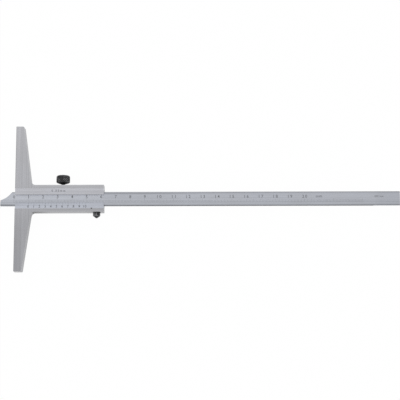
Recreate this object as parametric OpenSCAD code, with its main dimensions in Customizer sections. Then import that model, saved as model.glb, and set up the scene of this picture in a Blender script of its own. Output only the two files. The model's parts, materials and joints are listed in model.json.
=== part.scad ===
// Vernier depth gauge, lying on its back with its scales up.
// Millimetres. X = 0 is the plane of the base's measuring face, and the beam's tip points to -X.
// Y = 0 is the beam's centre line, and Z = 0 is the flat back that the gauge lies on.

/* [Base] */
// Length of the measuring base, end to end
base_l = 100.6; // [70:0.1:160]
// How far the base's middle lies above the beam's centre line
base_up = 0.25; // [0:0.05:1]
// Depth of the base at its two ends
base_end_d = 5.3; // [4:0.1:9]
// Depth of the base where it meets the slider
base_root_d = 11; // [9.5:0.1:12]
// Radius of the fillets between the base and the slider
root_r = 2; // [0.5:0.1:3]
// Chamfer on the outer rear corners of the base
corner_c = 0.4; // [0.3:0.1:2]
// Chamfer along the edges of the measuring face
face_c = 0.35; // [0.1:0.05:0.6]

/* [Slider] */
// Thickness of the base and the slider
body_t = 8; // [7.4:0.1:10]
// Length of the slider, from the measuring face to its rear end
slider_l = 61; // [60:0.1:70]
// Height of the slider above the beam's centre line
slider_above = 9.5; // [9.2:0.1:13]
// Height of the slider below the beam's centre line
slider_below = 9.2; // [9:0.1:12]
// Thickness of the floor behind the beam
floor_t = 3; // [1.5:0.1:3.2]
// Running gap on each side of the beam
run_gap = 0.03; // [0.01:0.01:0.08]

/* [Beam] */
// Length of the beam, tip to rear end
beam_l = 275; // [265:1:300]
// Width of the beam
beam_w = 9.6; // [9.4:0.1:10.4]
// Thickness of the beam
beam_t = 3; // [2.6:0.1:3.2]
// Chamfer along the beam's long edges
beam_c = 0.4; // [0.1:0.05:0.4]
// Height of the measuring face at the beam's tip
tip_h = 3.9; // [2:0.1:6]
// Length of the hollow ramp behind the tip
ramp_l = 8.1; // [5:0.1:9.5]
// How far the ramp is hollow below a straight line
ramp_sag = 0.8; // [0.3:0.05:1.2]
// Reading at rest, which is how far the tip stands out of the base
reading = 10.3; // [0:0.05:100]
// Largest depth that the gauge measures
range_max = 200; // [150:1:200]

/* [Scales] */
// Distance from the tip to the beam's zero mark, and from the measuring face to the vernier's
zero_d = 9.25; // [4:0.05:12]
// Number of millimetres marked on the beam
main_marks = 240; // [60:1:245]
// Number of divisions on the vernier
vernier_marks = 20; // [10:1:22]
// Width of one vernier division
vernier_step = 1.95; // [1.9:0.05:1.95]
// Width of an engraved mark
mark_w = 0.12; // [0.1:0.01:0.25]
// Depth of an engraved mark
mark_depth = 0.05; // [0.03:0.01:0.1]
// Length of a millimetre mark on the beam
mark_short = 1.5; // [0.8:0.1:2]
// Length of a five-millimetre mark on the beam
mark_mid = 1.9; // [1:0.1:2.6]
// Length of a centimetre mark on the beam
mark_long = 2.3; // [1.5:0.1:3.2]
// Length of a plain vernier mark
vernier_short = 1.2; // [0.6:0.1:1.5]
// Length of a numbered vernier mark
vernier_long = 1.7; // [1:0.1:2]

/* [Window] */
// Height of the retaining strip's lip above the beam's centre line
window_above = 2.6; // [2.2:0.1:3.6]
// Depth of the vernier's edge below the beam's centre line
window_below = 2.5; // [1.8:0.1:3]
// Height of the retaining strip's outer edge above the centre line
strip_top = 7.2; // [6.8:0.1:8]
// Depth of the vernier plate's outer edge below the centre line
plate_bottom = 6.8; // [5.7:0.1:6.9]
// Chamfer on the retaining strip's lip
lip_c = 0.5; // [0.1:0.05:1]
// Thickness of the vernier's edge over the beam
vernier_edge = 0.35; // [0.2:0.05:0.6]
// Step from the slider's face down to the vernier's outer edge
vernier_step_down = 0.3; // [0.1:0.05:0.6]
// How far the strip and the plate stay behind the measuring face
setback = 0.1; // [0.05:0.05:0.5]
// Diameter of the pin that locks the vernier plate
pin_d = 1; // [0.6:0.1:1.4]
// Length of that pin
pin_l = 4; // [2:0.1:5]
// Distance of that pin from the slider's rear end
pin_inset = 8.4; // [8.4:0.1:12]

/* [Gib] */
// Thickness of the bronze gib strip
gib_t = 1; // [0.8:0.05:1.2]
// Room between the gib strip and the slider's wall
gib_room = 0.25; // [0.1:0.05:0.3]
// How far the gib strip's ends stay inside the slider
gib_end = 0.6; // [0.2:0.1:2]
// Distance of the gib screws from the lock screw
gib_screw_pitch = 17; // [12:0.5:18]
// Diameter of the gib screws
gib_screw_d = 2.5; // [2:0.1:3]
// Diameter of the gib screws' dog points
gib_dog_d = 1.4; // [1:0.1:1.6]
// How far a dog point sits in the gib strip
gib_dog_l = 0.5; // [0.2:0.1:0.6]
// Width of the gib screws' slots
slot_w = 0.5; // [0.3:0.05:0.8]
// Depth of the gib screws' slots
slot_depth = 0.7; // [0.3:0.05:1]
// How far the gib screws lie below the slider's top
gib_screw_sink = 0.2; // [0.1:0.1:0.6]

/* [Lock screw] */
// Distance of the lock screw from the measuring face
lock_x = 32.7; // [32:0.1:36]
// Height of the lock screw's axis above the back
lock_z = 4.8; // [4.5:0.05:5.5]
// Diameter of the lock screw
lock_d = 3; // [2.5:0.1:3.2]
// Radial clearance of the screws in their threads
thread_gap = 0.05; // [0.02:0.01:0.1]
// Diameter of the knob
knob_d = 9.4; // [6:0.1:9.5]
// Length of the knob
knob_l = 6.2; // [5.4:0.1:9]
// Length of the bevel at the knob's outer end
knob_bevel = 1; // [0.3:0.05:1.2]
// Diameter of the flat face at that end
knob_face_d = 7; // [5:0.1:8.4]
// Length of the cone at the knob's inner end
knob_cone_l = 1.6; // [0.3:0.1:2]
// Diameter of that cone's narrow end
knob_neck_d = 3.8; // [3.8:0.1:8]
// Gap between the knob and the slider
knob_gap = 0.7; // [0.3:0.05:2]
// Number of knurl grooves round the knob
knob_grooves = 40; // [16:1:48]
// Depth of the knob's knurl grooves
knob_groove_depth = 0.3; // [0.1:0.05:0.4]
// How far the lock screw is pressed into the knob
knob_socket = 4.6; // [2.6:0.1:4.8]
// Length of the brass pad under the lock screw
pad_l = 0.9; // [0.5:0.1:1.5]
// Gap between the pad and the gib strip while the beam is free
pad_gap = 0.2; // [0.1:0.05:0.3]

/* [Guide screw] */
// Distance of the guide screw from the slider's rear end
guide_inset = 5; // [3.6:0.1:5.4]
// Diameter of the guide screw's thread
guide_d = 2.5; // [2:0.1:2.9]
// Diameter of the guide screw's head
guide_head_d = 5.1; // [4:0.1:5.2]
// Length of the knurled part of that head
guide_head_l = 3.2; // [2:0.1:5]
// Length of the blunt cone at its end
guide_cone_l = 1.6; // [0.8:0.1:3]
// Diameter of the flat at the cone's end
guide_cone_d = 0.9; // [0.4:0.1:2]
// Number of knurl grooves round the head
guide_grooves = 20; // [10:1:28]
// Depth of the head's knurl grooves
guide_groove_depth = 0.25; // [0.1:0.05:0.3]
// Diameter of the round recess in the slider that the head stands in
recess_d = 5.4; // [5.3:0.1:6]
// Depth of that recess
recess_depth = 1; // [0.4:0.1:1.8]
// Gap between the head and the floor of the recess
guide_head_gap = 0.25; // [0.2:0.05:0.4]
// Length of the guide screw's thread
guide_thread_l = 2.7; // [2:0.1:2.8]
// How far the guide pin's shoulder stays outside the beam's channel
guide_room = 0.15; // [0.15:0.05:0.3]
// Diameter of the guide pin's tip in the beam's groove
guide_tip_d = 1.2; // [0.8:0.05:1.4]
// Clearance of that tip on each side of the groove
guide_tip_gap = 0.2; // [0.1:0.05:0.25]
// Depth of the groove in the beam's lower edge
groove_depth = 1; // [0.6:0.05:1.3]

/* [Hidden] */

$fn = 96;
over = 1; // how far a cut runs past the piece that it cuts
press_gap = 0.01; // radial gap of the lock screw in the knob that it is pressed into

// Heights above the back
beam_z = floor_t + run_gap;
beam_face = beam_z + beam_t;
seat_z = beam_face + run_gap;
groove_z = beam_z + beam_t / 2;

// The channel that the beam runs in, and the gib strip's place in it
channel_low = -beam_w / 2 - run_gap;
gib_low = beam_w / 2 + run_gap;
gib_top = gib_low + gib_t;
channel_top = gib_top + gib_room;

// The lower rear corner's pin and guide screw keep their distance from the rear end
pin_x = slider_l - pin_inset;
guide_x = slider_l - guide_inset;

// The lock screw's parts, from the gib strip outwards
pad_low = gib_top + pad_gap;
lock_low = pad_low + pad_l;
knob_low = slider_above + knob_gap;
lock_top = knob_low + knob_socket;
gib_screw_xs = [lock_x - gib_screw_pitch, lock_x + gib_screw_pitch];

// The guide screw's parts, from the beam outwards
groove_floor = -beam_w / 2 + groove_depth;
tip_low = groove_floor - guide_tip_gap;
recess_floor = -slider_below + recess_depth;
guide_head_y = recess_floor - guide_head_gap;
guide_thread_y = guide_head_y + guide_thread_l;
shoulder_y = channel_low - guide_room;

// The beam's ramp is an arc through both its ends
ramp_h = beam_w - tip_h;
ramp_chord = norm([ramp_l, ramp_h]);
ramp_r = ramp_chord ^ 2 / (8 * ramp_sag) + ramp_sag / 2;
ramp_out = (ramp_r - ramp_sag) / ramp_chord;
ramp_centre = [
    ramp_l / 2 - ramp_h * ramp_out,
    beam_w / 2 - ramp_h / 2 + ramp_l * ramp_out
];

// The slope of the vernier plate
slope_w = plate_bottom - window_below;
slope_top = body_t - vernier_step_down;
slope_low = seat_z + vernier_edge;
slope_deg = atan2(slope_top - slope_low, slope_w);

module along_x(x0, x1) {
    translate([x0, 0, 0]) rotate([90, 0, 90]) linear_extrude(x1 - x0) children();
}

module along_y(x, y0, z, d, l) {
    translate([x, y0, z]) rotate([-90, 0, 0]) cylinder(d = d, h = l);
}

// One wing of the base, up to end_y, with the fillet beside the slider, whose edge is at h
module wing(h, end_y) {
    taper = atan2(base_root_d - base_end_d, end_y - h);
    side = [cos(taper), sin(taper)];
    root = [base_root_d, h];
    fillet = root + [root_r * (1 - side.y) / side.x, root_r];
    linear_extrude(body_t) polygon([
        [0, 0], [0, end_y], [base_end_d - corner_c, end_y],
        [base_end_d + corner_c * tan(taper), end_y - corner_c], root, [base_root_d, 0]
    ]);
    difference() {
        linear_extrude(body_t) polygon([
            root - side, root - [0, over], [fillet.x, h - over], [fillet.x, h], fillet,
            fillet - root_r * side
        ]);
        translate([fillet.x, fillet.y, -over]) cylinder(r = root_r, h = body_t + 2 * over);
    }
}

module body_blank() {
    translate([0, -slider_below, 0]) cube([slider_l, slider_below + slider_above, body_t]);
    wing(slider_above, base_l / 2 + base_up);
    mirror([0, 1, 0]) wing(slider_below, base_l / 2 - base_up);
}

// A chamfer of size c along Y, on an edge at x and z
module chamfer_y(x, z, c) {
    translate([x, 0, z]) rotate([0, 45, 0])
        cube([c * sqrt(2), base_l + 2 * over, c * sqrt(2)], center = true);
}

// The threaded hole of the lock screw, which opens into the gib strip's place
module lock_bore() {
    along_y(lock_x, gib_low, lock_z, lock_d + 2 * thread_gap, slider_above);
}

module body() {
    color("#a9abae") difference() {
        body_blank();
        along_x(-over, slider_l + over) {
            translate([channel_low, floor_t]) square([channel_top - channel_low, body_t]);
            translate([-plate_bottom, seat_z]) square([plate_bottom + strip_top, body_t]);
        }
        for (z = [0, body_t]) chamfer_y(0, z, face_c);
        lock_bore();
        for (x = gib_screw_xs)
            along_y(x, 0, groove_z, gib_screw_d + 2 * thread_gap, slider_above + over);
        along_y(guide_x, -slider_below, groove_z, guide_d + 2 * thread_gap, slider_below);
        along_y(guide_x, recess_floor - slider_below, groove_z, recess_d, slider_below);
        translate([pin_x, -plate_bottom, body_t - pin_l]) cylinder(d = pin_d, h = pin_l + over);
    }
}

module retaining_strip() {
    color("#b7b9c0") difference() {
        along_x(setback, slider_l) polygon([
            [strip_top, seat_z], [strip_top, body_t], [window_above + lip_c, body_t],
            [window_above, body_t - lip_c], [window_above, seat_z]
        ]);
        lock_bore();
    }
}

// Moves a mark from the plane of the paper to the vernier's slope, where y = 0 is its edge
module on_slope() {
    translate([0, -window_below, slope_low]) rotate([-slope_deg, 0, 0]) children();
}

module mark(x, y0, l) {
    translate([x - mark_w / 2, y0, -mark_depth]) cube([mark_w, l, mark_depth + over]);
}

module vernier_plate() {
    color("#b0b4bd") difference() {
        along_x(setback, slider_l) polygon([
            [-plate_bottom, seat_z], [-plate_bottom, slope_top],
            [-window_below, slope_low], [-window_below, seat_z]
        ]);
        on_slope() for (i = [0 : vernier_marks]) {
            l = i % 2 == 0 ? vernier_long : vernier_short;
            mark(zero_d + i * vernier_step, -l, l + over);
        }
        translate([pin_x, -plate_bottom, body_t - pin_l]) cylinder(d = pin_d, h = pin_l + over);
    }
}

module vernier_pin() {
    color("#55585c") translate([pin_x, -plate_bottom, body_t - pin_l])
        cylinder(d = pin_d, h = pin_l - vernier_step_down);
}

// The beam with its tip at x = 0
module beam_blank() {
    half = beam_w / 2;
    along_x(0, beam_l) polygon([
        [-half, beam_c], [-half + beam_c, 0], [half - beam_c, 0], [half, beam_c],
        [half, beam_t - beam_c], [half - beam_c, beam_t], [-half + beam_c, beam_t],
        [-half, beam_t - beam_c]
    ]);
}

module beam() {
    groove_w = guide_tip_d + 2 * guide_tip_gap;
    groove_l = range_max + groove_w;
    color("#aeb2b8") translate([-reading, 0, beam_z]) difference() {
        beam_blank();
        translate([ramp_centre.x, ramp_centre.y, -over]) cylinder(r = ramp_r, h = beam_t + 2 * over);
        translate([guide_x - groove_w / 2, groove_floor - beam_w, (beam_t - groove_w) / 2])
            cube([groove_l, beam_w, groove_w]);
        translate([0, -window_below, beam_t]) for (i = [0 : main_marks])
            mark(zero_d + i, 0, i % 10 == 0 ? mark_long : i % 5 == 0 ? mark_mid : mark_short);
    }
}

module gib_strip() {
    color("#b08d57") difference() {
        translate([gib_end, gib_low, floor_t + run_gap])
            cube([slider_l - 2 * gib_end, gib_t, seat_z - floor_t - 2 * run_gap]);
        for (x = gib_screw_xs)
            along_y(x, gib_top - gib_dog_l - run_gap, groove_z, gib_dog_d + 2 * thread_gap, gib_t);
    }
}

module gib_screws() {
    l = slider_above - gib_screw_sink - gib_top;
    color("#45474a") for (x = gib_screw_xs) {
        difference() {
            union() {
                along_y(x, gib_top, groove_z, gib_screw_d, l);
                along_y(x, gib_top - gib_dog_l, groove_z, gib_dog_d, gib_dog_l + l / 2);
            }
            translate([x - gib_screw_d, gib_top + l - slot_depth, groove_z - slot_w / 2])
                cube([2 * gib_screw_d, slot_depth + over, slot_w]);
        }
    }
}

module lock_pad() {
    color("#b5a05a") along_y(lock_x, pad_low, lock_z, lock_d, pad_l);
}

module lock_screw() {
    color("#3a3b3d") along_y(lock_x, lock_low, lock_z, lock_d, lock_top - lock_low);
}

// A turned head along Y with straight knurl grooves, and its outline on the right of the axis
module knurled(x, y, z, d, l, grooves, depth) {
    translate([x, y, z]) rotate([-90, 0, 0]) difference() {
        rotate_extrude() children();
        for (i = [0 : grooves - 1]) rotate([0, 0, i * 360 / grooves])
            translate([d / 2, 0, -over]) rotate([0, 0, 45])
                cube([depth * sqrt(2), depth * sqrt(2), 2 * (l + 2 * over)], center = true);
    }
}

module lock_knob() {
    r = knob_d / 2;
    color("#2c2d2f") difference() {
        knurled(lock_x, knob_low, lock_z, knob_d, knob_l, knob_grooves, knob_groove_depth)
            polygon([
                [0, 0], [knob_neck_d / 2, 0], [r, knob_cone_l], [r, knob_l - knob_bevel],
                [knob_face_d / 2, knob_l], [0, knob_l]
            ]);
        along_y(lock_x, knob_low - over, lock_z, lock_d + 2 * press_gap, knob_socket + over);
    }
}

module guide_pin() {
    color("#b5a05a") {
        along_y(guide_x, guide_thread_y, groove_z, guide_d, shoulder_y - guide_thread_y);
        along_y(guide_x, guide_thread_y, groove_z, guide_tip_d, tip_low - guide_thread_y);
    }
}

module guide_screw() {
    r = guide_head_d / 2;
    color("#2c2d2f") {
        knurled(guide_x, guide_head_y - guide_head_l - guide_cone_l, groove_z, guide_head_d,
            guide_head_l + guide_cone_l, guide_grooves, guide_groove_depth)
            polygon([
                [0, 0], [guide_cone_d / 2, 0], [r, guide_cone_l],
                [r, guide_cone_l + guide_head_l], [0, guide_cone_l + guide_head_l]
            ]);
        along_y(guide_x, guide_head_y - over, groove_z, guide_d, guide_thread_l + over);
    }
}

body();
retaining_strip();
vernier_plate();
vernier_pin();
beam();
gib_strip();
gib_screws();
lock_pad();
lock_screw();
lock_knob();
guide_pin();
guide_screw();
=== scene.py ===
"""Vernier depth gauge: finishes, fine detail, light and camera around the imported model.

Sizes are in millimetres unless a comment says otherwise. Upper is towards +Y, where the lock knob
is, and the front is towards -X, where the beam's tip is.
"""

import json
import math

import bmesh
import bpy
from mathutils import Euler, Matrix, Vector


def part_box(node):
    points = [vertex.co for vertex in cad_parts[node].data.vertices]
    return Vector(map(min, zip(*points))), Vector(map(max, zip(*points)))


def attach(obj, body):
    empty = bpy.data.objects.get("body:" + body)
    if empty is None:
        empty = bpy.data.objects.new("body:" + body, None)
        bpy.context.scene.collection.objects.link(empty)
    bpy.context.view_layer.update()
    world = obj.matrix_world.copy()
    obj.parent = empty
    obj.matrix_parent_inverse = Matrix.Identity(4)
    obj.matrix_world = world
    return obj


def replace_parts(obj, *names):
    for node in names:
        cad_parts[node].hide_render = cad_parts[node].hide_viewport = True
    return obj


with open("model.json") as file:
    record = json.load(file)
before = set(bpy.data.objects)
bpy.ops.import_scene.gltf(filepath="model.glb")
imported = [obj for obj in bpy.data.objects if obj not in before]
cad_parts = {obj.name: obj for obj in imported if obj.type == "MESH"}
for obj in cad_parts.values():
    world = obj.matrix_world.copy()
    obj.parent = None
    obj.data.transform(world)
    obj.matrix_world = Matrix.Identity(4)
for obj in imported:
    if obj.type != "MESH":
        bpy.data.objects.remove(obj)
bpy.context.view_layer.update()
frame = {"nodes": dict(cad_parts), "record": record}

MM = 0.001


def in_mm(box):
    """The two corners of a node's box, in millimetres."""
    return [corner / MM for corner in box]


BEAM = in_mm(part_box("beam"))
PLATE = in_mm(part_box("vernier_plate"))
STRIP = in_mm(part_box("retaining_strip"))
KNOB = in_mm(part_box("lock_knob"))
STEM = in_mm(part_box("lock_screw"))
GUIDE = in_mm(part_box("guide_screw"))
PIN = in_mm(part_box("vernier_pin"))

# Edges of the finished pieces
EDGE_ROUND = 0.2
EDGE_SEGMENTS = 2
EDGE_ANGLE = math.radians(25)
FLAT_ANGLE = math.radians(0.5)
SMOOTH_ANGLE = math.radians(40)
LATHE_ANGLE = math.radians(35)
MERGE_GAP = 0.001
LONG_EDGE = 30.0

# The fillets between the base and the slider: the source's radius, the distance from the corner
# of the straight sides within which its points lie, and each corner with its new radius
ROOT_R = 2.0
ROOT_REACH = 2.2
FILLETS = ((Vector((11.0, 9.5)), 3.6), (Vector((11.0, -9.2)), 2.7))

# Along the body: where its grain turns from the base's to the slider's, and where the painted shade
# on the slider's lower side face fades
GRAIN_TURN = (11.6, 12.2)
WALL_PAINTED_SHADE_FADE = (11.0, 27.0)

# How bright the painted shade leaves the slider's lower side face beside the base, against the rest
# of it
WALL_PAINTED_SHADE_TONE = 0.12

# Across the body and the vernier plate: where their tone changes. On the body this is painted
# shade, darker towards its lower side; the vernier plate only gets a paler foot
BASE_PAINTED_SHADE = (-26.0, 8.0)
SLIDER_PAINTED_SHADE = (-9.0, 9.0)
VERNIER_SHADE = (-7.0, -2.5)

# Across the beam: its part inside the window that is painted paler as painted light, its dark
# lines (painted shadow and shade, and one faint line), and half the width of their soft edges
WINDOW_PAINTED_LIFT = (-0.2, 2.8)
FRONT_PAINTED_SHADOW = (3.25, 4.1)
UPPER_EDGE_PAINTED_SHADE = (3.95, 4.7)
VERNIER_TRACE = (-2.85, -2.2)
LOWER_EDGE_PAINTED_SHADE = (-4.4, -3.6)
BAND_EDGE = 0.1

# Along the beam: where the stretch that the slider covers ends, where the painted shadow and
# shade fade or start, and where the darker rear end starts
COVERED_END = (58.0, 62.0)
FRONT_SHADOW_FADE = (85.0, 150.0)
UPPER_EDGE_SHADE_START = (110.0, 160.0)
LOWER_EDGE_SHADE_FADE = (-4.0, 4.0)
DARK_END_START = (246.0, 252.0)

# The beam's scale
ZERO = 9.25
MAIN_MARKS = 240
MAIN_LENGTHS = (1.5, 1.9, 2.3)
MAIN_NUMBERS = 20
MAIN_NUMBER_Y = 3.95
MAIN_NUMBER_H = 2.15
MAIN_NUMBER_SHIFT = 0.18
MAIN_NUMBER_SPACE = 1.4

# The vernier's scale, and the height of its plate's thin edge
VERNIER_MARKS = 20
VERNIER_STEP = 1.95
VERNIER_LENGTHS = (1.7, 1.2)
VERNIER_NUMBER_Y = -3.0
VERNIER_NUMBER_H = 1.8
VERNIER_NUMBER_SHIFT = -0.15
VERNIER_NUMBER_SPACE = 1.1
VERNIER_EDGE = 0.35

# Small lettering: text, X, Y, height and letter spacing
BEAM_LABELS = (("mm", 219.25, 3.75, 1.3, 1.2), ("200 mm", 260.5, 3.95, 1.3, 1.1))
STRIP_LABELS = (("0.05mm", 29.9, 5.4, 1.5, 1.55),)

# The filling of marks, which starts just inside the plate's edge, and of letters
FILL_W = 0.11
FILL_START = 0.02
FILL_TOP = -0.002
FILL_DEPTH = 0.045
LETTER_STEPS = 3
LETTER_BOLD = 0.012
INK_PROUD = 0.01

# Threads, and the gap that both screws leave to what they press on
THREAD_DEPTH = 0.2
THREAD_STEPS = 6
THREAD_RUN_OUT = 0.3
LOCK_PITCH = 0.5
GUIDE_PITCH = 0.45
END_GAP = 0.02

# The lock screw's stem: its end loses some of its radius, and the end and the neck have slopes
STEM_POINTS = 40
STEM_END_LOSS = 0.4
STEM_SLOPE_L = 0.2
STEM_NECK_R = 0.95
STEM_NECK_L = 0.6

# The lock knob: a curved waist, the diamond knurl, a rounded crown and a dished face, which is
# given by depth and radius and has the lathe's centre mark
KNURL_COUNT = 20
KNURL_POINTS = 10
KNURL_DEPTH = 0.3
KNURL_SHARE = 0.7
KNURL_RUN_OUT = 0.3
KNURL_STEP = 0.08
WAIST_L = 1.6
WAIST_FOOT_R = 1.1875
WAIST_START_R = 1.25
WAIST_START = 0.05
WAIST_EASE = 0.8
WAIST_STEP = 0.12
KNOB_CROWN = 1.3
KNOB_FACE_R = 3.3
KNOB_FACE = (
    (0.0, 2.8), (0.15, 2.7), (0.15, 2.1), (0.15, 1.5), (0.15, 1.0), (0.15, 0.6),
    (0.35, 0.4), (0.4, 0.2),
)
CROWN_ANGLES = (0.15, 0.3, 0.5, 0.7, 0.9, 1.1, 1.3, 1.45, math.pi / 2)

# The guide screw's blunt tip, given by height and radius, and the cone above it
GUIDE_TIP = ((0.0, 0.225), (0.0, 0.378), (0.05, 0.47))
GUIDE_CONE_R = 0.45
GUIDE_CONE_L = 1.6
GUIDE_CONE_START = 0.1
GUIDE_CONE_STEP = 0.2

# Its toothed head: the worn edge above the cone is given by its half length and what the radius
# loses there, and the rounded end by the distance to the top and what the radius loses
GUIDE_TEETH = 22
GUIDE_TOOTH_POINTS = 8
GUIDE_TOOTH_DEPTH = 0.24
GUIDE_TOOTH_SHARE = 0.75
GUIDE_TOOTH_RUN_OUT = 0.2
GUIDE_TOOTH_STEP = 0.12
GUIDE_HEAD_EDGE = 0.06
GUIDE_HEAD_EDGE_LOSS = 0.02
GUIDE_HEAD_ROUND = 0.25
GUIDE_HEAD_END = ((0.1, 0.06), (0.0, 0.22))
GUIDE_COLLAR_L = 0.3

# Its threaded stem
GUIDE_THREAD_L = 2.7
GUIDE_THREAD_R = 1.25
GUIDE_THREAD_START = 0.05
GUIDE_END_L = 0.15
GUIDE_END_LOSS = 0.3

# The vernier plate's pin
PIN_POINTS = 32
PIN_CHAMFER = 0.1
PIN_DOME = 0.15
DOME_ANGLES = (0.3, 0.6, 0.9, 1.2, 1.45)

# The floor, and how white it is to the camera and in reflections, from its own shade to white
FLOOR_HALF = 4000.0
FLOOR_CENTRE = Vector((127.0, 0.0, -0.02))
FLOOR_LIFT = 0.98
FLOOR_SHINE = 0.55

# The sky in reflections: its greys near the horizon and above, and the sines of the angles above
# the horizon between which it goes from one to the other
SKY_GREYS = (0.7, 1.0)
SKY_RISE = (0.05, 0.75)

# The softbox, in metres and watts
LIGHT_PLACE = Vector((-0.15, 0.55, 0.85))
LIGHT_WIDTH = 0.9
LIGHT_HEIGHT = 0.6
LIGHT_POWER = 0.7

# The camera: in metres what it looks at, from how far, and how near and far it sees, then its
# turn in radians, and its lens and sensor
VIEW_CENTRE = Vector((127.114, -0.675, 4.0)) * MM
VIEW_DISTANCE = 800 * MM
VIEW_DEPTH = (0.01, 20.0)
VIEW_TURN = Euler((0.1565, 0.00128, -0.0024), "ZYX")
LENS = 104.428
SENSOR = 36.0

WHITE = (1.0, 1.0, 1.0, 1.0)


# ---------------------------------------------------------------- shader nodes
# The Mix node's inputs are 0 for the factor, 2 and 3 for numbers, and 6 and 7 for colours. Its
# outputs are 0 for a number and 2 for a colour.

def new_tree(name):
    """A new material, and its node tree with only the output left."""
    material = bpy.data.materials.new(name)
    material.use_nodes = True
    tree = material.node_tree
    tree.nodes.clear()
    tree.nodes.new("ShaderNodeOutputMaterial")
    return material, tree


def put(tree, kind, inputs=None, **settings):
    """Adds a node. An input is a number, a vector, a colour, or the output that feeds it."""
    node = tree.nodes.new("ShaderNode" + kind)
    for key, value in settings.items():
        setattr(node, key, value)
    for key, value in (inputs or {}).items():
        if isinstance(value, bpy.types.NodeSocket):
            tree.links.new(value, node.inputs[key])
        else:
            node.inputs[key].default_value = value
    return node


def finish_tree(tree, shader):
    """Makes a shader the material's surface."""
    output = tree.nodes["Material Output"]
    tree.links.new(shader.outputs[0], output.inputs["Surface"])


def maths(tree, operation, a, b=0.0):
    """The result of an operation on one or two numbers."""
    return put(tree, "Math", {0: a, 1: b}, operation=operation).outputs[0]


def product(tree, first, *others):
    """The product of two or more numbers."""
    for other in others:
        first = maths(tree, "MULTIPLY", first, other)
    return first


def spread(tree, value, low, high, start=0.0, end=1.0):
    """Maps a value from start..end to low..high, smoothly and without passing either."""
    ranges = {"Value": value, "From Min": start, "From Max": end, "To Min": low, "To Max": high}
    return put(tree, "MapRange", ranges, interpolation_type="SMOOTHSTEP").outputs["Result"]


def band(tree, value, start, end):
    """1 from start to end and 0 outside, with soft edges."""
    return product(
        tree,
        spread(tree, value, 0.0, 1.0, start - BAND_EDGE, start + BAND_EDGE),
        spread(tree, value, 1.0, 0.0, end - BAND_EDGE, end + BAND_EDGE),
    )


def mix(tree, factor, a, b):
    """The number a where factor is 0, and b where it is 1."""
    return put(tree, "Mix", {0: factor, 2: a, 3: b}, data_type="FLOAT").outputs[0]


def blend(tree, factor, a, b):
    """The colour a where factor is 0, and b where it is 1."""
    return put(tree, "Mix", {0: factor, 6: a, 7: b}, data_type="RGBA").outputs[2]


def grey(tree, level):
    """The grey of a level, as a colour."""
    return put(tree, "CombineColor", {0: level, 1: level, 2: level}).outputs[0]


def shade(tree, colour, level):
    """A colour times a grey level."""
    inputs = {0: 1.0, 6: colour, 7: grey(tree, level)}
    return put(tree, "Mix", inputs, data_type="RGBA", blend_type="MULTIPLY").outputs[2]


def place(tree):
    """The place on the piece in millimetres."""
    coordinates = put(tree, "TexCoord").outputs["Object"]
    return put(tree, "VectorMath", {0: coordinates, "Scale": 1 / MM}, operation="SCALE").outputs[0]


def facing(tree):
    """The direction that the surface faces."""
    return put(tree, "TexCoord").outputs["Normal"]


def parts_of(tree, vector):
    """A vector's three parts, by the names X, Y and Z."""
    return put(tree, "SeparateXYZ", {0: vector}).outputs


def noise(tree, vector, stretch, detail=2.0, roughness=0.5):
    """Noise whose grains have about the given size in millimetres along X, Y and Z."""
    scaled = put(tree, "VectorMath", {0: vector, 1: stretch}, operation="DIVIDE").outputs[0]
    inputs = {"Vector": scaled, "Scale": 1.0, "Detail": detail, "Roughness": roughness}
    return put(tree, "TexNoise", inputs).outputs["Fac"]


def bump(tree, height, strength, depth):
    """The normal of a surface whose grooves are about as deep as given."""
    inputs = {"Height": height, "Strength": strength, "Distance": depth * MM}
    return put(tree, "Bump", inputs).outputs[0]


# ---------------------------------------------------------------- materials

def grained_steel(name, colour, grain, streak, painted_chamfer_light=1.0, painted_wall_light=1.0, tone=None):
    """Metal with a straight grain. grain(tree, vector) gives its broad and fine noise, streak is
    the broad grain's contrast, and tone(tree, vector) is how bright each place is.
    painted_chamfer_light and painted_wall_light are how bright chamfers and upright faces are
    painted beside the flat faces: painted light and shade by the way each face is turned."""
    material, tree = new_tree(name)
    vector = place(tree)
    broad, fine = grain(tree, vector)
    cloud = noise(tree, vector, (14.0, 14.0, 14.0))
    level = maths(tree, "ABSOLUTE", parts_of(tree, facing(tree))["Z"])
    light = [
        spread(tree, broad, 1 - streak, 1 + streak, 0.3, 0.7),
        spread(tree, fine, 0.965, 1.035, 0.25, 0.75),
        spread(tree, cloud, 0.985, 1.015, 0.3, 0.7),
        # painted light and shade: chamfers and upright faces painted brighter or darker than flat
        # faces
        spread(tree, level, painted_chamfer_light, 1.0, 0.75, 0.9),
        spread(tree, level, painted_wall_light / painted_chamfer_light, 1.0, 0.3, 0.6),
    ]
    if tone:
        light.append(tone(tree, vector))
    bluer = [part * factor for part, factor in zip(colour, (0.985, 1.0, 1.03, 1.0))]
    shader = put(tree, "BsdfPrincipled", {
        "Base Color": shade(tree, blend(tree, cloud, colour, bluer), product(tree, *light)),
        "Metallic": 1.0,
        "Roughness": spread(tree, fine, 0.2, 0.34, 0.3, 0.7),
        "Normal": bump(tree, fine, 0.3, 0.003),
    })
    finish_tree(tree, shader)
    return material


def grain_along_x(tree, vector):
    """Broad and fine noise, drawn out along X."""
    return noise(tree, vector, (90.0, 1.0, 1.0)), noise(tree, vector, (6.0, 0.05, 0.05))


def grain_along_y(tree, vector):
    """Broad and fine noise, drawn out along Y."""
    return noise(tree, vector, (1.0, 90.0, 1.0)), noise(tree, vector, (0.05, 6.0, 0.05))


def slider_mask(tree, vector):
    """0 on the base and 1 on the slider."""
    return spread(tree, parts_of(tree, vector)["X"], 0.0, 1.0, *GRAIN_TURN)


def grain_of_body(tree, vector):
    """The base is ground along its length, and the slider along the beam."""
    on_slider = slider_mask(tree, vector)
    base = grain_along_y(tree, vector)
    slider = grain_along_x(tree, vector)
    return [mix(tree, on_slider, a, b) for a, b in zip(base, slider)]


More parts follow.
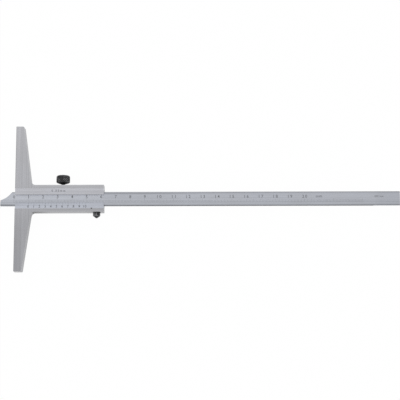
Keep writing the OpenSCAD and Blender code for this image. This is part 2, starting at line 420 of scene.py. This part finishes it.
def tone_of_body(tree, vector):
    """The base and the slider are painted a little darker towards their lower side, as painted
    shade, and the slider's lower side face is painted darker beside the base, as painted shade."""
    parts = parts_of(tree, vector)
    # painted shade: the base and the slider darker towards their lower side
    base = spread(tree, parts["Y"], 0.85, 1.0, *BASE_PAINTED_SHADE)
    slider = spread(tree, parts["Y"], 0.93, 1.07, *SLIDER_PAINTED_SHADE)
    # painted shade on the slider's downward-facing side, darkest beside the base
    lower_wall = spread(tree, parts_of(tree, facing(tree))["Y"], 1.0, 0.0, -0.9, -0.5)
    wall_painted_shade = spread(tree, parts["X"], WALL_PAINTED_SHADE_TONE, 1.0, *WALL_PAINTED_SHADE_FADE)
    slider_with_painted_shade = product(tree, slider, mix(tree, lower_wall, 1.0, wall_painted_shade))
    return mix(tree, slider_mask(tree, vector), base, slider_with_painted_shade)


def tone_of_vernier(tree, vector):
    """The vernier's foot is a little paler than its edge."""
    return spread(tree, parts_of(tree, vector)["Y"], 1.02, 0.93, *VERNIER_SHADE)


def tone_of_beam(tree, vector):
    """The window's part of the beam is painted a little paler where the slider covers it, as
    painted light against the strip's shade, and the rear end is a little darker. Faint dark lines
    run along
    the beam: a painted shadow beside the slider's end at its upper edge, painted shade along its
    upper and lower edges, darkest at the tip below, and a faint dark line along the vernier's edge."""
    parts = parts_of(tree, vector)
    x, y = parts["X"], parts["Y"]
    # painted light: the window's part of the beam paler where the slider covers it
    painted_window_lift = spread(tree, x, 0.09, 0.0, *COVERED_END)
    uncovered = spread(tree, x, 0.0, 1.0, *COVERED_END)
    # painted shadow beside the slider's end, and painted shade along the beam's upper and lower
    # edges
    front_painted_shadow = spread(tree, x, 0.26, 0.0, *FRONT_SHADOW_FADE)
    upper_edge_painted_shade = spread(tree, x, 0.0, 0.2, *UPPER_EDGE_SHADE_START)
    lower_edge_painted_shade = spread(tree, x, 0.3, 0.1, *LOWER_EDGE_SHADE_FADE)
    dark = [
        product(tree, band(tree, y, *FRONT_PAINTED_SHADOW), uncovered, front_painted_shadow),
        product(tree, band(tree, y, *UPPER_EDGE_PAINTED_SHADE), upper_edge_painted_shade),
        product(tree, band(tree, y, *VERNIER_TRACE), 0.12),
        product(tree, band(tree, y, *LOWER_EDGE_PAINTED_SHADE), lower_edge_painted_shade),
        spread(tree, x, 0.0, 0.06, *DARK_END_START),
    ]
    tone = maths(tree, "ADD", product(tree, band(tree, y, *WINDOW_PAINTED_LIFT), painted_window_lift), 1.0)
    for part in dark:
        tone = maths(tree, "SUBTRACT", tone, part)
    return tone


def worn_edge():
    """The rounded edges, painted paler than the faces: partly metal polished by handling and partly
    painted highlight along the edges.
    """
    material, tree = new_tree("worn_edge")
    vector = place(tree)
    patches = noise(tree, vector, (3.0, 3.0, 3.0), 4.0, 0.6)
    nicks = noise(tree, vector, (0.3, 0.3, 0.3), 3.0)
    shader = put(tree, "BsdfPrincipled", {
        # paler than the faces: partly polish, partly painted highlight on the edges
        "Base Color": blend(tree, patches, (0.48, 0.49, 0.51, 1), (0.60, 0.61, 0.63, 1)),
        "Metallic": 1.0,
        "Roughness": spread(tree, patches, 0.2, 0.34),
        "Normal": bump(tree, nicks, 0.4, 0.01),
    })
    finish_tree(tree, shader)
    return material


def black_oxide(name, rub_and_glint, glint_shift):
    """Oiled black oxide, grey on the tips of the knurl in patches: partly rubbed wear and partly
    painted glints. rub_and_glint is how pale, and glint_shift moves the patches to where the glints
    fall."""
    material, tree = new_tree(name)
    vector = place(tree)
    moved = put(tree, "VectorMath", {0: vector, 1: glint_shift}, operation="ADD").outputs[0]
    patches = noise(tree, moved, (2.6, 2.6, 2.6), 2.0, 0.55)
    specks = noise(tree, vector, (0.12, 0.12, 0.12), 3.0)
    tips = put(tree, "NewGeometry").outputs["Pointiness"]
    # grey tips: partly rubbed wear, partly painted glints placed by the patches
    rubbed_and_glint = product(
        tree,
        spread(tree, tips, 0.0, 1.0, 0.49, 0.57),
        spread(tree, patches, 0.15, 1.0, 0.44, 0.6),
    )
    oxide = blend(tree, specks, (0.004, 0.004, 0.0045, 1), (0.012, 0.012, 0.0135, 1))
    shader = put(tree, "BsdfPrincipled", {
        "Base Color": blend(tree, rubbed_and_glint, oxide, (rub_and_glint, rub_and_glint, rub_and_glint * 1.03, 1)),
        "Metallic": product(tree, rubbed_and_glint, 0.9),
        "Roughness": spread(tree, patches, 0.34, 0.5, 0.3, 0.7),
        "Specular IOR Level": 0.3,
        "Normal": bump(tree, specks, 0.3, 0.01),
    })
    finish_tree(tree, shader)
    return material


def turned_metal(name, colour, rough):
    """Metal turned about an axis along Y, with fine rings and slight tarnish."""
    material, tree = new_tree(name)
    vector = place(tree)
    rings = noise(tree, vector, (4.0, 0.06, 4.0), 3.0)
    tarnish = noise(tree, vector, (1.5, 1.5, 1.5), 4.0)
    light = product(
        tree,
        spread(tree, rings, 0.9, 1.1, 0.25, 0.75),
        spread(tree, tarnish, 0.82, 1.06, 0.3, 0.7),
    )
    shader = put(tree, "BsdfPrincipled", {
        "Base Color": shade(tree, colour, light),
        "Metallic": 1.0,
        "Roughness": spread(tree, tarnish, rough - 0.06, rough + 0.1, 0.3, 0.7),
        "Normal": bump(tree, rings, 0.4, 0.006),
    })
    finish_tree(tree, shader)
    return material


def ink(name, colour):
    """The dull filling of the engraved marks, a little thinner in places."""
    material, tree = new_tree(name)
    vector = place(tree)
    wear = noise(tree, vector, (0.4, 0.4, 0.4), 3.0)
    grit = noise(tree, vector, (0.03, 0.03, 0.03))
    pale = [part * 1.9 for part in colour[:3]] + [1]
    shader = put(tree, "BsdfPrincipled", {
        "Base Color": blend(tree, spread(tree, wear, 0.0, 1.0, 0.35, 0.75), colour, pale),
        "Roughness": spread(tree, grit, 0.5, 0.7),
        "Normal": bump(tree, grit, 0.5, 0.004),
    })
    finish_tree(tree, shader)
    return material


# ---------------------------------------------------------------- pieces

def new_piece(name, mesh, body, materials):
    """Adds a piece that moves with a body, and gives it its materials."""
    piece = bpy.data.objects.new(name, mesh)
    bpy.context.scene.collection.objects.link(piece)
    for material in materials:
        mesh.materials.append(material)
    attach(piece, body)
    return piece


def mesh_of(name, bm, smooth_angle=None):
    """A mesh in metres from one in millimetres."""
    bmesh.ops.recalc_face_normals(bm, faces=bm.faces)
    bmesh.ops.scale(bm, vec=(MM, MM, MM), verts=bm.verts)
    mesh = bpy.data.meshes.new(name)
    bm.to_mesh(mesh)
    bm.free()
    if smooth_angle is not None:
        mesh.shade_smooth()
        mesh.set_sharp_from_angle(angle=smooth_angle)
    return mesh


# ---------------------------------------------------------------- rounded pieces

def body_of(node):
    """The CAD body that a node belongs to."""
    bodies = frame["record"]["behaviour"]["bodies"]
    return next(body for body, nodes in bodies.items() if node in nodes)


def copy_of(node):
    """A CAD node's mesh in millimetres, with its corners joined."""
    bm = bmesh.new()
    bm.from_mesh(frame["nodes"][node].data)
    bmesh.ops.scale(bm, vec=(1 / MM, 1 / MM, 1 / MM), verts=bm.verts)
    bmesh.ops.remove_doubles(bm, verts=bm.verts, dist=MERGE_GAP)
    return bm


def round_edges(bm, edge_filter):
    """Makes flat faces whole, and rounds the sharp outer edges that the filter takes."""
    for face in bm.faces:
        face.material_index = 0
    bmesh.ops.dissolve_limit(bm, angle_limit=FLAT_ANGLE, verts=bm.verts, edges=bm.edges)
    sharp = [
        edge for edge in bm.edges
        if edge.is_convex and edge.calc_face_angle(0) > EDGE_ANGLE and edge_filter(edge)
    ]
    bmesh.ops.bevel(
        bm, geom=sharp, offset=EDGE_ROUND, offset_type="OFFSET", segments=EDGE_SEGMENTS,
        profile=0.5, affect="EDGES", clamp_overlap=True, material=1)


def rounded(node, name, materials, edge_filter=lambda edge: True, reshape=None):
    """Stands for a CAD node, with its edges rounded. The second material is the rounds'."""
    bm = copy_of(node)
    if reshape:
        reshape(bm)
    round_edges(bm, edge_filter)
    piece = new_piece(name, mesh_of(name, bm, SMOOTH_ANGLE), body_of(node), materials)
    piece.modifiers.new("even_faces", "WEIGHTED_NORMAL").keep_sharp = True
    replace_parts(piece, node)


def widen_fillets(bm):
    """Grows the fillets between the base and the slider from their corners."""
    for corner, radius in FILLETS:
        for v in bm.verts:
            if (v.co.xy - corner).length < ROOT_REACH:
                v.co.xy = corner + (v.co.xy - corner) * radius / ROOT_R


def along_x_edge(edge):
    """Whether an edge runs along the beam and is long."""
    a, b = edge.verts
    return abs(a.co.x - b.co.x) > LONG_EDGE


# ---------------------------------------------------------------- turned pieces

def about_y(box):
    """Puts the points of a turned piece about the box's middle line along Y."""
    centre = (box[0] + box[1]) / 2
    return lambda along, u, v: (centre.x + u, along, centre.z + v)


def about_z(box):
    """The same about the box's middle line along Z."""
    centre = (box[0] + box[1]) / 2
    return lambda along, u, v: (centre.x + u, centre.y + v, along)


def radius_of(box):
    """Half the width of a turned piece's box."""
    return (box[1].x - box[0].x) / 2


def lathe(name, put_point, rows, around, dent=lambda angle, along: 0):
    """A closed turned piece. rows are (distance along the axis, radius), around is the number of
    points in a ring, and dent(angle, along) is how far the surface lies below that radius."""
    bm = bmesh.new()
    rings = []
    for along, radius in rows:
        ring = []
        for step in range(around):
            angle = 2 * math.pi * step / around
            r = radius - dent(angle, along)
            ring.append(bm.verts.new(put_point(along, r * math.cos(angle), r * math.sin(angle))))
        rings.append(ring)
    for low, high in zip(rings, rings[1:]):
        for i in range(around):
            bm.faces.new((low[i - 1], high[i - 1], high[i], low[i]))
    bm.faces.new(rings[0])
    bm.faces.new(rings[-1])
    return mesh_of(name, bm, LATHE_ANGLE)


def steps(start, end, size):
    """Evenly spaced values from start to end, about size apart."""
    count = max(1, round(abs(end - start) / size))
    return [start + (end - start) * i / count for i in range(count + 1)]


def saw(value):
    """0 at whole numbers and 1 half-way between them."""
    return 1 - abs(2 * (value % 1) - 1)


def groove(turns, share):
    """A V-groove at each whole number of turns, 1 deep, that takes a share of the pitch."""
    return max(0, 1 - saw(turns) / share)


def fade(distance, length):
    """0 up to a distance of 0, and 1 from the given length on."""
    return min(1, max(0, distance / length))


def thread(pitch, start):
    """The helical groove of a thread."""
    return lambda angle, y: THREAD_DEPTH * saw((y - start) / pitch - angle / (2 * math.pi))


def knob_rows(low, high, radius):
    """The knob's outline, from its foot to the middle of its face."""
    knurl_low = low + WAIST_L
    knurl_high = high - KNOB_CROWN
    crown_r = radius - KNOB_FACE_R

    def waist(y):
        """The radius between the slider and the knurl."""
        eased = ((y - low) / WAIST_L) ** WAIST_EASE
        return WAIST_START_R + (radius - WAIST_START_R) * eased * eased * (3 - 2 * eased)

    rows = [(low, WAIST_FOOT_R)]
    rows += [(y, waist(y)) for y in steps(low + WAIST_START, knurl_low, WAIST_STEP)[:-1]]
    rows += [(y, radius) for y in steps(knurl_low, knurl_high, KNURL_STEP)]
    rows += [
        (knurl_high + KNOB_CROWN * math.sin(angle), KNOB_FACE_R + crown_r * math.cos(angle))
        for angle in CROWN_ANGLES
    ]
    rows += [(high - depth, r) for depth, r in KNOB_FACE]
    return rows


def make_knob(black):
    """The lock knob, with a diamond knurl."""
    low, high = KNOB[0].y, KNOB[1].y
    radius = radius_of(KNOB)

    def diamonds(angle, y):
        turn = KNURL_COUNT * angle / (2 * math.pi)
        climb = KNURL_COUNT * (y - low) / (2 * math.pi * radius)
        crossed = max(groove(turn + climb, KNURL_SHARE), groove(turn - climb, KNURL_SHARE))
        inside = min(y - low - WAIST_L, high - KNOB_CROWN - y)
        return KNURL_DEPTH * crossed * fade(inside + KNURL_RUN_OUT, KNURL_RUN_OUT)

    rows = knob_rows(low, high, radius)
    mesh = lathe("knob", about_y(KNOB), rows, KNURL_COUNT * KNURL_POINTS, diamonds)
    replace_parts(new_piece("lock_knob_knurled", mesh, "lock", [black]), "lock_knob")


def make_stem(steel):
    """The lock screw, with its thread and its neck below the knob."""
    low, high = STEM[0].y + END_GAP, STEM[1].y
    radius = radius_of(STEM)
    neck_low = KNOB[0].y - STEM_NECK_L
    step = LOCK_PITCH / THREAD_STEPS
    rows = [(low, radius - STEM_END_LOSS)]
    rows += [(y, radius) for y in steps(low + STEM_SLOPE_L, neck_low, step)]
    rows += [(y, STEM_NECK_R + THREAD_DEPTH) for y in steps(neck_low + STEM_SLOPE_L, high, step)]
    mesh = lathe("stem", about_y(STEM), rows, STEM_POINTS, thread(LOCK_PITCH, low))
    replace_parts(new_piece("lock_screw_threaded", mesh, "lock", [steel]), "lock_screw")


def guide_rows(low, cone_top, head_top, high, radius):
    """The guide screw's outline, from its tip to the end of its thread."""
    flare = (radius - GUIDE_CONE_R) / GUIDE_CONE_L
    cone = steps(low + GUIDE_CONE_START, cone_top - GUIDE_HEAD_EDGE, GUIDE_CONE_STEP)
    head = steps(cone_top + GUIDE_HEAD_EDGE, head_top - GUIDE_HEAD_ROUND, GUIDE_TOOTH_STEP)
    stem = steps(head_top + GUIDE_THREAD_START, high - GUIDE_END_L, GUIDE_PITCH / THREAD_STEPS)
    rows = [(low + height, r) for height, r in GUIDE_TIP]
    rows += [(y, GUIDE_CONE_R + flare * (y - low)) for y in cone]
    rows += [(cone_top, radius - GUIDE_HEAD_EDGE_LOSS)]
    rows += [(y, radius) for y in head]
    rows += [(head_top - to_top, radius - loss) for to_top, loss in GUIDE_HEAD_END]
    rows += [(head_top, GUIDE_THREAD_R)]
    rows += [(y, GUIDE_THREAD_R) for y in stem]
    rows += [(high, GUIDE_THREAD_R - GUIDE_END_LOSS)]
    return rows


def make_guide_screw(black):
    """The guide screw, with a toothed head and a thread."""
    low, high = GUIDE[0].y, GUIDE[1].y - END_GAP
    radius = radius_of(GUIDE)
    head_top = high - GUIDE_THREAD_L
    cone_top = low + GUIDE_CONE_L

    def teeth(angle, y):
        if y > head_top:
            return thread(GUIDE_PITCH, head_top)(angle, y) * fade(y - head_top, THREAD_RUN_OUT)
        inside = min(y - cone_top, head_top - GUIDE_COLLAR_L - y)
        tooth = groove(GUIDE_TEETH * angle / (2 * math.pi), GUIDE_TOOTH_SHARE)
        return GUIDE_TOOTH_DEPTH * tooth * fade(inside, GUIDE_TOOTH_RUN_OUT)

    rows = guide_rows(low, cone_top, head_top, high, radius)
    mesh = lathe("guide", about_y(GUIDE), rows, GUIDE_TEETH * GUIDE_TOOTH_POINTS, teeth)
    piece = new_piece("guide_screw_knurled", mesh, "guide", [black])
    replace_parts(piece, "guide_screw")


def make_pin(steel):
    """The vernier pin, with its end peened to a low dome."""
    low, high = PIN[0].z, PIN[1].z
    radius = radius_of(PIN)
    rows = [(low, radius - PIN_CHAMFER), (low + PIN_CHAMFER, radius), (high - PIN_DOME, radius)]
    rows += [
        (high - PIN_DOME * (1 - math.sin(angle)), radius * math.cos(angle)) for angle in DOME_ANGLES
    ]
    mesh = lathe("pin", about_z(PIN), rows, PIN_POINTS)
    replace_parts(new_piece("vernier_pin_peened", mesh, "frame", [steel]), "vernier_pin")


# ---------------------------------------------------------------- scales

def beam_plane():
    """From a drawing, with y = 0 at the vernier plate's thin edge, to the beam's face."""
    return Matrix.Translation((BEAM[0].x, PLATE[1].y, BEAM[1].z))


def vernier_plane():
    """The same for the vernier plate's slope."""
    edge_z = PLATE[0].z + VERNIER_EDGE
    slope = math.atan2(PLATE[1].z - edge_z, PLATE[1].y - PLATE[0].y)
    return Matrix.Translation((0, PLATE[1].y, edge_z)) @ Matrix.Rotation(-slope, 4, "X")


def strip_plane():
    """From a drawing in the frame's own X and Y to the retaining strip's face."""
    return Matrix.Translation((0, 0, STRIP[1].z))


def fill_marks(name, marks, plane, body, material):
    """The filling of engraved marks: marks are (x, y0, y1)."""
    bm = bmesh.new()
    for x, y0, y1 in marks:
        size = Matrix.Diagonal((FILL_W, y1 - y0, FILL_DEPTH, 1))
        middle = Matrix.Translation((x, (y0 + y1) / 2, FILL_TOP - FILL_DEPTH / 2))
        bmesh.ops.create_cube(bm, size=1, matrix=plane @ middle @ size)
    new_piece(name, mesh_of(name, bm), body, [material])


def drawn_text(text, space):
    """The mesh of a text whose letters are plates that reach 1 to both sides."""
    curve = bpy.data.curves.new("lettering", "FONT")
    curve.body = text
    curve.resolution_u = LETTER_STEPS
    curve.extrude = 1.0
    curve.space_character = space
    curve.offset = LETTER_BOLD
    carrier = bpy.data.objects.new("lettering", curve)
    mesh = bpy.data.meshes.new_from_object(carrier)
    bpy.data.objects.remove(carrier)
    bpy.data.curves.remove(curve)
    return mesh


def letters(name, labels, plane, body, material):
    """Filled lettering: labels are (text, x, y, height, letter spacing)."""
    bm = bmesh.new()
    for text, x, y, height, space in labels:
        mesh = drawn_text(text, space)
        across = [v.co.x for v in mesh.vertices]
        up = [v.co.y for v in mesh.vertices]
        scale = height / (max(up) - min(up))
        middle = Vector((min(across) + max(across), min(up) + max(up), 0)) / 2
        mesh.transform(Matrix.Translation(-middle))
        mesh.transform(Matrix.Diagonal((scale, scale, INK_PROUD, 1)))
        mesh.transform(plane @ Matrix.Translation((x, y, 0)))
        bm.from_mesh(mesh)
        bpy.data.meshes.remove(mesh)
    new_piece(name, mesh_of(name, bm), body, [material])


def make_beam_scale(mark_ink, number_ink):
    """Fills the beam's marks, and adds its numbers and small lettering."""
    short, middle, long = MAIN_LENGTHS
    marks = [
        (ZERO + i, FILL_START, long if i % 10 == 0 else middle if i % 5 == 0 else short)
        for i in range(MAIN_MARKS + 1)
    ]
    first = ZERO + MAIN_NUMBER_SHIFT
    shape = (MAIN_NUMBER_Y, MAIN_NUMBER_H, MAIN_NUMBER_SPACE)
    numbers = [(str(n), first + 10 * n, *shape) for n in range(MAIN_NUMBERS + 1)]
    labels = numbers + list(BEAM_LABELS)
    fill_marks("beam_mark_filling", marks, beam_plane(), "depth_beam", mark_ink)
    letters("beam_numbers", labels, beam_plane(), "depth_beam", number_ink)


def make_vernier_scale(mark_ink, number_ink):
    """Fills the vernier's marks, of which every second one has a number."""
    marks = [
        (ZERO + i * VERNIER_STEP, -VERNIER_LENGTHS[i % 2], -FILL_START)
        for i in range(VERNIER_MARKS + 1)
    ]
    first = ZERO + VERNIER_NUMBER_SHIFT
    shape = (VERNIER_NUMBER_Y, VERNIER_NUMBER_H, VERNIER_NUMBER_SPACE)
    numbers = [
        (str(n), first + 2 * n * VERNIER_STEP, *shape) for n in range(VERNIER_MARKS // 2 + 1)
    ]
    fill_marks("vernier_mark_filling", marks, vernier_plane(), "frame", mark_ink)
    letters("vernier_numbers", numbers, vernier_plane(), "frame", number_ink)


# ---------------------------------------------------------------- studio

def white_floor():
    """Matt white paper, which the camera and reflections see almost pure white."""
    material, tree = new_tree("studio_floor")
    paper = noise(tree, place(tree), (1.0, 1.0, 1.0), 4.0)
    white = blend(tree, paper, (0.86, 0.86, 0.86, 1), (0.88, 0.88, 0.88, 1))
    diffuse = put(tree, "BsdfDiffuse", {"Color": white})
    glow = put(tree, "Emission", {"Color": WHITE, "Strength": 1.0})
    path = put(tree, "LightPath").outputs
    to_camera = product(tree, path["Is Camera Ray"], FLOOR_LIFT)
    in_reflections = product(tree, path["Is Glossy Ray"], FLOOR_SHINE)
    lift = maths(tree, "MAXIMUM", to_camera, in_reflections)
    shader = put(tree, "MixShader", {0: lift, 1: diffuse.outputs[0], 2: glow.outputs[0]})
    finish_tree(tree, shader)
    return material


def make_floor():
    """The white floor that the gauge lies on."""
    bm = bmesh.new()
    bmesh.ops.create_grid(bm, x_segments=8, y_segments=8, size=FLOOR_HALF)
    bmesh.ops.translate(bm, verts=bm.verts, vec=FLOOR_CENTRE)
    floor = bpy.data.objects.new("floor", mesh_of("floor", bm))
    bpy.context.scene.collection.objects.link(floor)
    floor.data.materials.append(white_floor())


def make_world():
    """White behind the object, and in its reflections a sky that is greyer near the horizon."""
    world = bpy.data.worlds.new("studio")
    bpy.context.scene.world = world
    world.use_nodes = True
    tree = world.node_tree
    tree.nodes.clear()
    direction = put(tree, "TexCoord").outputs["Generated"]
    sky = grey(tree, spread(tree, parts_of(tree, direction)["Z"], *SKY_GREYS, *SKY_RISE))
    path = put(tree, "LightPath").outputs
    colour = blend(tree, path["Is Glossy Ray"], WHITE, sky)
    colour = blend(tree, path["Is Camera Ray"], colour, WHITE)
    background = put(tree, "Background", {"Color": colour, "Strength": 1.0})
    output = put(tree, "OutputWorld")
    tree.links.new(background.outputs[0], output.inputs["Surface"])


def make_light():
    """A softbox high above the gauge, on the lock knob's side."""
    data = bpy.data.lights.new("softbox", "AREA")
    data.shape = "RECTANGLE"
    data.size = LIGHT_WIDTH
    data.size_y = LIGHT_HEIGHT
    data.energy = LIGHT_POWER
    light = bpy.data.objects.new("softbox", data)
    bpy.context.scene.collection.objects.link(light)
    light.location = LIGHT_PLACE
    aim = VIEW_CENTRE - LIGHT_PLACE
    light.rotation_euler = aim.to_track_quat("-Z", "Y").to_euler()


def make_camera():
    """A long lens almost straight above the gauge."""
    data = bpy.data.cameras.new("camera")
    data.lens = LENS
    data.sensor_width = SENSOR
    data.clip_start, data.clip_end = VIEW_DEPTH
    camera = bpy.data.objects.new("camera", data)
    bpy.context.scene.collection.objects.link(camera)
    turn = VIEW_TURN.to_matrix().to_4x4()
    back = Matrix.Translation((0, 0, VIEW_DISTANCE))
    camera.matrix_world = Matrix.Translation(VIEW_CENTRE) @ turn @ back
    bpy.context.scene.camera = camera
    bpy.context.scene.view_settings.view_transform = "Standard"


# ---------------------------------------------------------------- the gauge

def dress(node, material):
    """Gives a CAD node its material."""
    mesh = frame["nodes"][node].data
    mesh.materials.clear()
    mesh.materials.append(material)


make_camera()
make_world()
make_light()
make_floor()

# the body's chamfers are painted darker, as painted shade along its edges
ground = grained_steel(
    "ground_steel", (0.391, 0.39, 0.403, 1), grain_of_body,
    streak=0.08, painted_chamfer_light=0.7, tone=tone_of_body)
# the retaining strip's upright faces are painted brighter, as painted light, which also lightens
# their reflection in the beam
chrome = grained_steel(
    "satin_chrome", (0.448, 0.448, 0.472, 1), grain_along_x, streak=0.07, painted_chamfer_light=1.25, painted_wall_light=1.95)
vernier = grained_steel(
    "satin_vernier", (0.362, 0.375, 0.412, 1), grain_along_x, streak=0.05, tone=tone_of_vernier)
# the beam's chamfers are painted darker, as painted shade along its edges
beam_steel = grained_steel(
    "satin_beam", (0.422, 0.434, 0.467, 1), grain_along_x,
    streak=0.05, painted_chamfer_light=0.6, painted_wall_light=1.2, tone=tone_of_beam)
edge_polish_and_highlight = worn_edge()
# patches of rubbed wear and painted glint, shifted to where the knob's and the guide screw's glints
# fall
black = black_oxide("black_oxide", rub_and_glint=0.28, glint_shift=(7.0, 9.0, 2.0))
black_guide = black_oxide("black_oxide_guide", rub_and_glint=0.43, glint_shift=(5.0, 5.0, 0.0))
stem_steel = turned_metal("dark_steel", (0.10, 0.10, 0.105, 1), rough=0.36)
bronze = turned_metal("bronze", (0.62, 0.41, 0.21, 1), rough=0.32)
brass = turned_metal("brass", (0.70, 0.54, 0.25, 1), rough=0.28)
mark_ink = ink("mark_filling", (0.13, 0.135, 0.15, 1))
number_ink = ink("number_filling", (0.075, 0.078, 0.088, 1))
beam_ink = ink("beam_number_filling", (0.105, 0.109, 0.12, 1))

rounded("body", "body_rounded", [ground, edge_polish_and_highlight], reshape=widen_fillets)
rounded("retaining_strip", "retaining_strip_rounded", [chrome, edge_polish_and_highlight])
rounded(
    "vernier_plate", "vernier_plate_rounded", [vernier, edge_polish_and_highlight],
    edge_filter=along_x_edge)
dress("beam", beam_steel)
dress("gib_strip", bronze)
dress("gib_screws", black)
dress("lock_pad", brass)
dress("guide_pin", brass)
make_knob(black)
make_stem(stem_steel)
make_guide_screw(black_guide)
make_pin(stem_steel)
make_beam_scale(mark_ink, beam_ink)
make_vernier_scale(mark_ink, number_ink)
letters("strip_unit", STRIP_LABELS, strip_plane(), "frame", number_ink)
